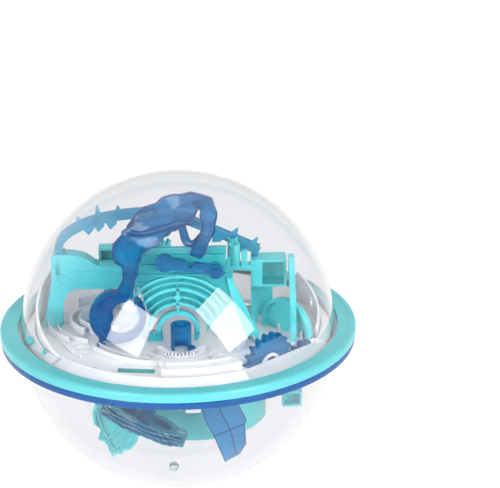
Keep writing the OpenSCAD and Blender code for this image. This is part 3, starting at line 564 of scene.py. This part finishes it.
# Inner and outer radius of each rib of the fan, and the angles it spans
FAN_RIBS = [
    (10.2, 13.2, 0, 180), (16.8, 18.8, 14, 166), (21.4, 22.8, 20, 160), (25.8, 28.2, 24, 156),
    (30.2, 31.4, 30, 150), (33.6, 35.6, 36, 144)]


def fan_ribs():
    """Raised arcs and a middle bar on the front of the fan, in the lighter turquoise against the fan's
    painted shade; those behind the lever stay nearly flush.
    """
    flush, raised, back = -22.15, -23.3, -21.9
    ribs = []
    for r_in, r_out, start, end in FAN_RIBS:
        front = flush if r_out > 30 else raised
        rings = []
        for i in range(41):
            a = radians(start + (end - start) * i / 40)
            ring = [(r_in, back), (r_out, back), (r_out - 0.3, front), (r_in + 0.3, front)]
            rings.append([(r * cos(a), y, FAN_MID_Z + r * sin(a)) for r, y in ring])
        ribs.append(skin(rings))
    bar = [(-0.8, back, 20), (0.8, back, 20), (0.8, back, 36), (-0.8, back, 36)]
    ribs.append(slab(bar, (0, raised - back, 0)))
    ribs.append(tube([(0, -23.8, 30), (0, -21.9, 30)], 1.9, 20, 1))
    add_piece("fan_ribs", *joined(*ribs), "turquoise_plastic", round_by=0.15)


# Edge of the leaf in (x, z), from its upper left corner down and round
LEAF_OUTLINE = [
    (-51, -37.5), (-52.8, -43.5), (-52.3, -50.5), (-48.2, -54.2), (-50.2, -61.5), (-47, -62.2),
    (-44.6, -65.2), (-43.6, -69.5), (-41.2, -73.2), (-38.3, -71), (-36, -71.6), (-34.2, -69),
    (-30.8, -68.5), (-28.2, -65.6), (-25.9, -62.4), (-24.9, -58), (-23.9, -54), (-22.6, -46.8),
    (-30, -47.4), (-36, -44), (-42, -40.5)]
LEAF_MID = (-38, -54)
# Each layer of the blade, from its front over the raised rim to its back: share of the outline, and y
LEAF_LAYERS = [
    (0.0, -22.6), (0.8, -23.8), (0.9, -25.6), (1.0, -25.6), (1.0, -23.6), (0.86, -22.6), (0.0, -21.4)]
LEAF_RIBS = [
    [(-50, -40), (-49, -47), (-46.5, -55), (-43.5, -62), (-41, -69)],
    [(-41, -69), (-35, -62.5), (-29, -56), (-24.6, -49)],
    [(-44, -61), (-39, -57), (-33, -52.5), (-27, -50)]]


def leaf_scoop():
    """A thin serrated leaf with a raised rim and ribs, and the stem it hangs from."""
    rings = []
    for share, y in LEAF_LAYERS:
        rings.append([
            (LEAF_MID[0] + (x - LEAF_MID[0]) * share, y, LEAF_MID[1] + (z - LEAF_MID[1]) * share)
            for x, z in LEAF_OUTLINE])
    blade = skin(rings, ends=False)
    ribs = [tube([(x, -24.6, z) for x, z in rib], 0.7, 8) for rib in LEAF_RIBS]
    stem = slab([(-48, -25, -1.6), (-42, -25, -1.6), (-42, -25, -44), (-48, -25, -42)], (0, 3.6, 0))
    leaf = joined(blade, *ribs, stem)
    add_piece("leaf_body", *leaf, "turquoise_plastic", stands_for=("leaf_scoop",), round_by=0.15)


# ---- pieces under the plate --------------------------------------------------

WHEEL_MID = Vector((-21.5, -52, -37.7))
WHEEL_TURN = Matrix.Rotation(radians(24.6), 3, "Y") @ Matrix.Rotation(radians(-14), 3, "X")
WHEEL_R = 27
WHEEL_TEETH = 30


def wheel_ring(r_in, r_out, low, high, tooth=0.0, wave=0.0, turn=0.0):
    """A ring of the wheel; its rim may carry teeth and wave from side to side."""
    steps = WHEEL_TEETH * 4 if tooth or wave else 72
    rings = []
    for i in range(steps + 1):
        a = 2 * pi * i / steps
        out = r_out - (tooth if i % 4 < 2 else 0)
        lift = wave * sin(7 * a + turn)
        ring = [(r_in, low), (out, low + lift), (out, high + lift), (r_in, high)]
        rings.append([
            WHEEL_MID + WHEEL_TURN @ Vector((r * cos(a + turn / 40), r * sin(a + turn / 40), z))
            for r, z in ring])
    return skin(rings, ends=False)


def striped_wheel():
    """Four thin toothed flanges side by side on a drum, with a disc and a hub; the core is darker than the
    flanges as painted shade in the gaps between them.
    """
    half, tooth, wave = 0.35, 1.5, 0.35
    flanges = [
        wheel_ring(17, WHEEL_R, z - half, z + half, tooth, wave, turn)
        for z, turn in ((-3.1, 0), (-1.1, 2), (1.1, 4), (3.1, 1))]
    drum = wheel_ring(16.5, 19.5, -2.6, 2.6)
    disc = wheel_ring(1.8, 17, -0.7, 0.7)
    hub = wheel_ring(1.7, 5, -3.6, 3.6)
    add_piece(
        "wheel_flanges", *joined(*flanges), "light_blue_plastic", "spin_wheel", ("striped_wheel",),
        crease=25)
    # The drum, disc and hub take the darker solid blue: painted shade for the dark lines between the
    # flanges
    add_piece("wheel_core", *joined(drum, disc, hub), "solid_blue", "spin_wheel")


# Left edge, middle edge and right edge of the chute at each fold, from the top down
CHUTE_FOLDS = [
    ((15.2, -51, -1.6), (20, -55.5, -1.6), (29.8, -50, -1.6)),
    ((12, -51, -26), (22.5, -56, -26), (33.5, -49.5, -27)),
    ((15, -51, -38), (26, -56, -34.5), (39, -49.5, -39)),
    ((20, -51, -48), (29.5, -56, -41.5), (38, -49.5, -41)),
    ((23.2, -51, -56.5), (31.3, -56, -50), (38.5, -49.5, -54)),
    ((26.5, -51, -65), (33, -55.5, -58.5), (34.5, -50, -60.5))]


def chute():
    """A folded box chute seen on its edge."""
    back = -44.5
    rings = [
        [left, middle, right, (right[0], back, right[2]), (left[0], back, left[2])]
        for left, middle, right in CHUTE_FOLDS]
    # Dark tubes along the folds: painted shade where the faces meet
    lines = [tube([fold[k] for fold in CHUTE_FOLDS[1:]], 0.35, 6, 1) for k in range(3)]
    lines.append(tube(CHUTE_FOLDS[3], 0.35, 6, 1))
    add_piece("chute_body", *skin(rings), "solid_blue", stands_for=("chute",), crease=20, round_by=0.3)
    add_piece("chute_fold_shade", *joined(*lines), "edge_blue")


def zigzag():
    """The low zigzag wall by the slot."""
    corners, outer, depth = 8, 82, 5
    line = []
    for i in range(corners):
        r, a = outer - (i % 2) * depth, radians(228 + i * 4)
        line.append(Vector((r * cos(a), r * sin(a), DECK + 0.05)))
    high = Vector((0, 0, 1.6))
    rings = []
    for i, place in enumerate(line):
        along = (line[min(i + 1, corners - 1)] - line[max(i - 1, 0)]).normalized()
        side = along.cross(Vector((0, 0, 1))) * 0.7
        rings.append([place - side, place + side, place + side * 0.8 + high, place - side * 0.8 + high])
    add_piece("zigzag_wall", *skin(rings), "white_plastic", stands_for=("zigzag_fence",), round_by=0.15)


def slot_lining():
    """The turquoise inside of the tray, seen on the far side of the slot, in the darker turquoise as
    painted shade.
    """
    low, high = -1.55, 1.45
    left, right = (-35.4, -59.7), (-13.8, -62.8)
    sheet = slab([(*left, low), (*right, low), (*right, high), (*left, high)], (-0.03, -0.25, 0))
    add_piece("slot_lining", *sheet, "fan_turquoise")


# ---- the remaining CAD pieces ------------------------------------------------

# How much their edges are rounded
SMALL_EDGE = 0.3
CAD_SLOTS = {row["node"]: row["material_slot"] for row in frame["record"]["subparts"]}


def finish_cad_nodes():
    """The remaining CAD nodes keep their shape and get rounded edges and a finish."""
    for name, node in frame["nodes"].items():
        if node.hide_render:
            continue
        node.data.materials.clear()
        # The fan grille takes the darker turquoise, painted shade in its recesses between the lighter ribs
        finish = "fan_turquoise" if name == "fan_grille" else CAD_SLOTS[name]
        node.data.materials.append(FINISHES[finish])
        if name != "steel_ball":
            soften(node, SMALL_EDGE)


# ---- camera ------------------------------------------------------------------

# Distance in metres, angles in degrees, lens in millimetres
DISTANCE = 1.5
RISE = 23.2
ROLL = -1.2
TURN_RIGHT = 1.66
TILT_UP = 1.96
LENS = 177.9


def add_camera():
    """A long lens from the front, a little above, turned so that the sphere sits off the middle."""
    data = bpy.data.cameras.new("camera")
    data.sensor_width = 36
    data.lens = LENS
    data.clip_end = 20
    camera = bpy.data.objects.new("camera", data)
    bpy.context.scene.collection.objects.link(camera)
    away = Vector((0, -cos(radians(RISE)), sin(radians(RISE))))
    facing = (-away).to_track_quat("-Z", "Y").to_matrix().to_4x4()
    aim = (
        Matrix.Rotation(radians(ROLL), 4, "Z")
        @ Matrix.Rotation(radians(-TURN_RIGHT), 4, "Y")
        @ Matrix.Rotation(radians(TILT_UP), 4, "X"))
    camera.matrix_world = Matrix.Translation(away * DISTANCE) @ facing @ aim
    bpy.context.scene.camera = camera


# ---- floor and light ---------------------------------------------------------

FLOOR_Z = -(SHELL_R + DECK)
# Half the width of the floor
FLOOR_REACH = 4000
FLOOR_GLOW = 0.8


def add_floor():
    """A wide pale floor under the lower shell, glowing evenly so that it reads as white."""
    signs = [(-1, -1), (1, -1), (1, 1), (-1, 1)]
    points = [Vector((x * FLOOR_REACH, y * FLOOR_REACH, FLOOR_Z)) * MM for x, y in signs]
    mesh = bpy.data.meshes.new("floor")
    mesh.from_pydata(points, [], [(0, 1, 2, 3)])
    finish = Finish("floor")
    finish.vary_colour((0.40, 0.40, 0.40), (0.41, 0.41, 0.41), 3)
    finish.shader.inputs["Roughness"].default_value = 0.9
    finish.shader.inputs["Specular IOR Level"].default_value = 0.1
    finish.shader.inputs["Emission Color"].default_value = (1, 1, 1, 1)
    finish.shader.inputs["Emission Strength"].default_value = FLOOR_GLOW
    mesh.materials.append(finish.material)
    floor = bpy.data.objects.new("floor", mesh)
    bpy.context.scene.collection.objects.link(floor)


def add_softbox(name, place, size, turn, power):
    """A rectangular light at place, in metres, facing the origin; turn is about its own axis."""
    data = bpy.data.lights.new(name, "AREA")
    data.shape = "RECTANGLE"
    data.size, data.size_y = size
    data.energy = power
    light = bpy.data.objects.new(name, data)
    bpy.context.scene.collection.objects.link(light)
    facing = (-Vector(place)).to_track_quat("-Z", "Y").to_matrix().to_4x4()
    light.matrix_world = Matrix.Translation(place) @ facing @ Matrix.Rotation(radians(turn), 4, "Z")
    return light


def add_world(front, back):
    """Even white light, weaker in front and stronger behind."""
    world = bpy.data.worlds.new("studio")
    world.use_nodes = True
    world.node_tree.nodes["Background"].inputs["Color"].default_value = (1, 1, 1, 1)
    tree = world.node_tree
    split = tree.nodes.new("ShaderNodeSeparateXYZ")
    fade = tree.nodes.new("ShaderNodeMapRange")
    fade.inputs["From Min"].default_value = -0.1
    fade.inputs["From Max"].default_value = 0.5
    fade.inputs["To Min"].default_value = front
    fade.inputs["To Max"].default_value = back
    tree.links.new(tree.nodes.new("ShaderNodeTexCoord").outputs["Generated"], split.inputs["Vector"])
    tree.links.new(split.outputs["Y"], fade.inputs["Value"])
    tree.links.new(fade.outputs["Result"], tree.nodes["Background"].inputs["Strength"])
    bpy.context.scene.world = world


shells()
ring_top()
twist_track()
loop_channel()
white_relief()
turquoise_details()
fan_ribs()
leaf_scoop()
striped_wheel()
chute()
slot_lining()
zigzag()
finish_cad_nodes()
add_camera()
add_floor()
add_softbox("softbox_left", (-0.703, -1.004, 0.407), (0.60, 0.70), -18, 10)
add_softbox("softbox_right", (0.717, -0.948, 0.505), (0.56, 0.88), 26, 12)
softbox_over = add_softbox("softbox_over", (0, 0.2, 1.6), (1.2, 1.2), 0, 5)
softbox_over.visible_glossy = False
add_world(0.12, 0.9)
bpy.context.scene.view_settings.view_transform = "Standard"
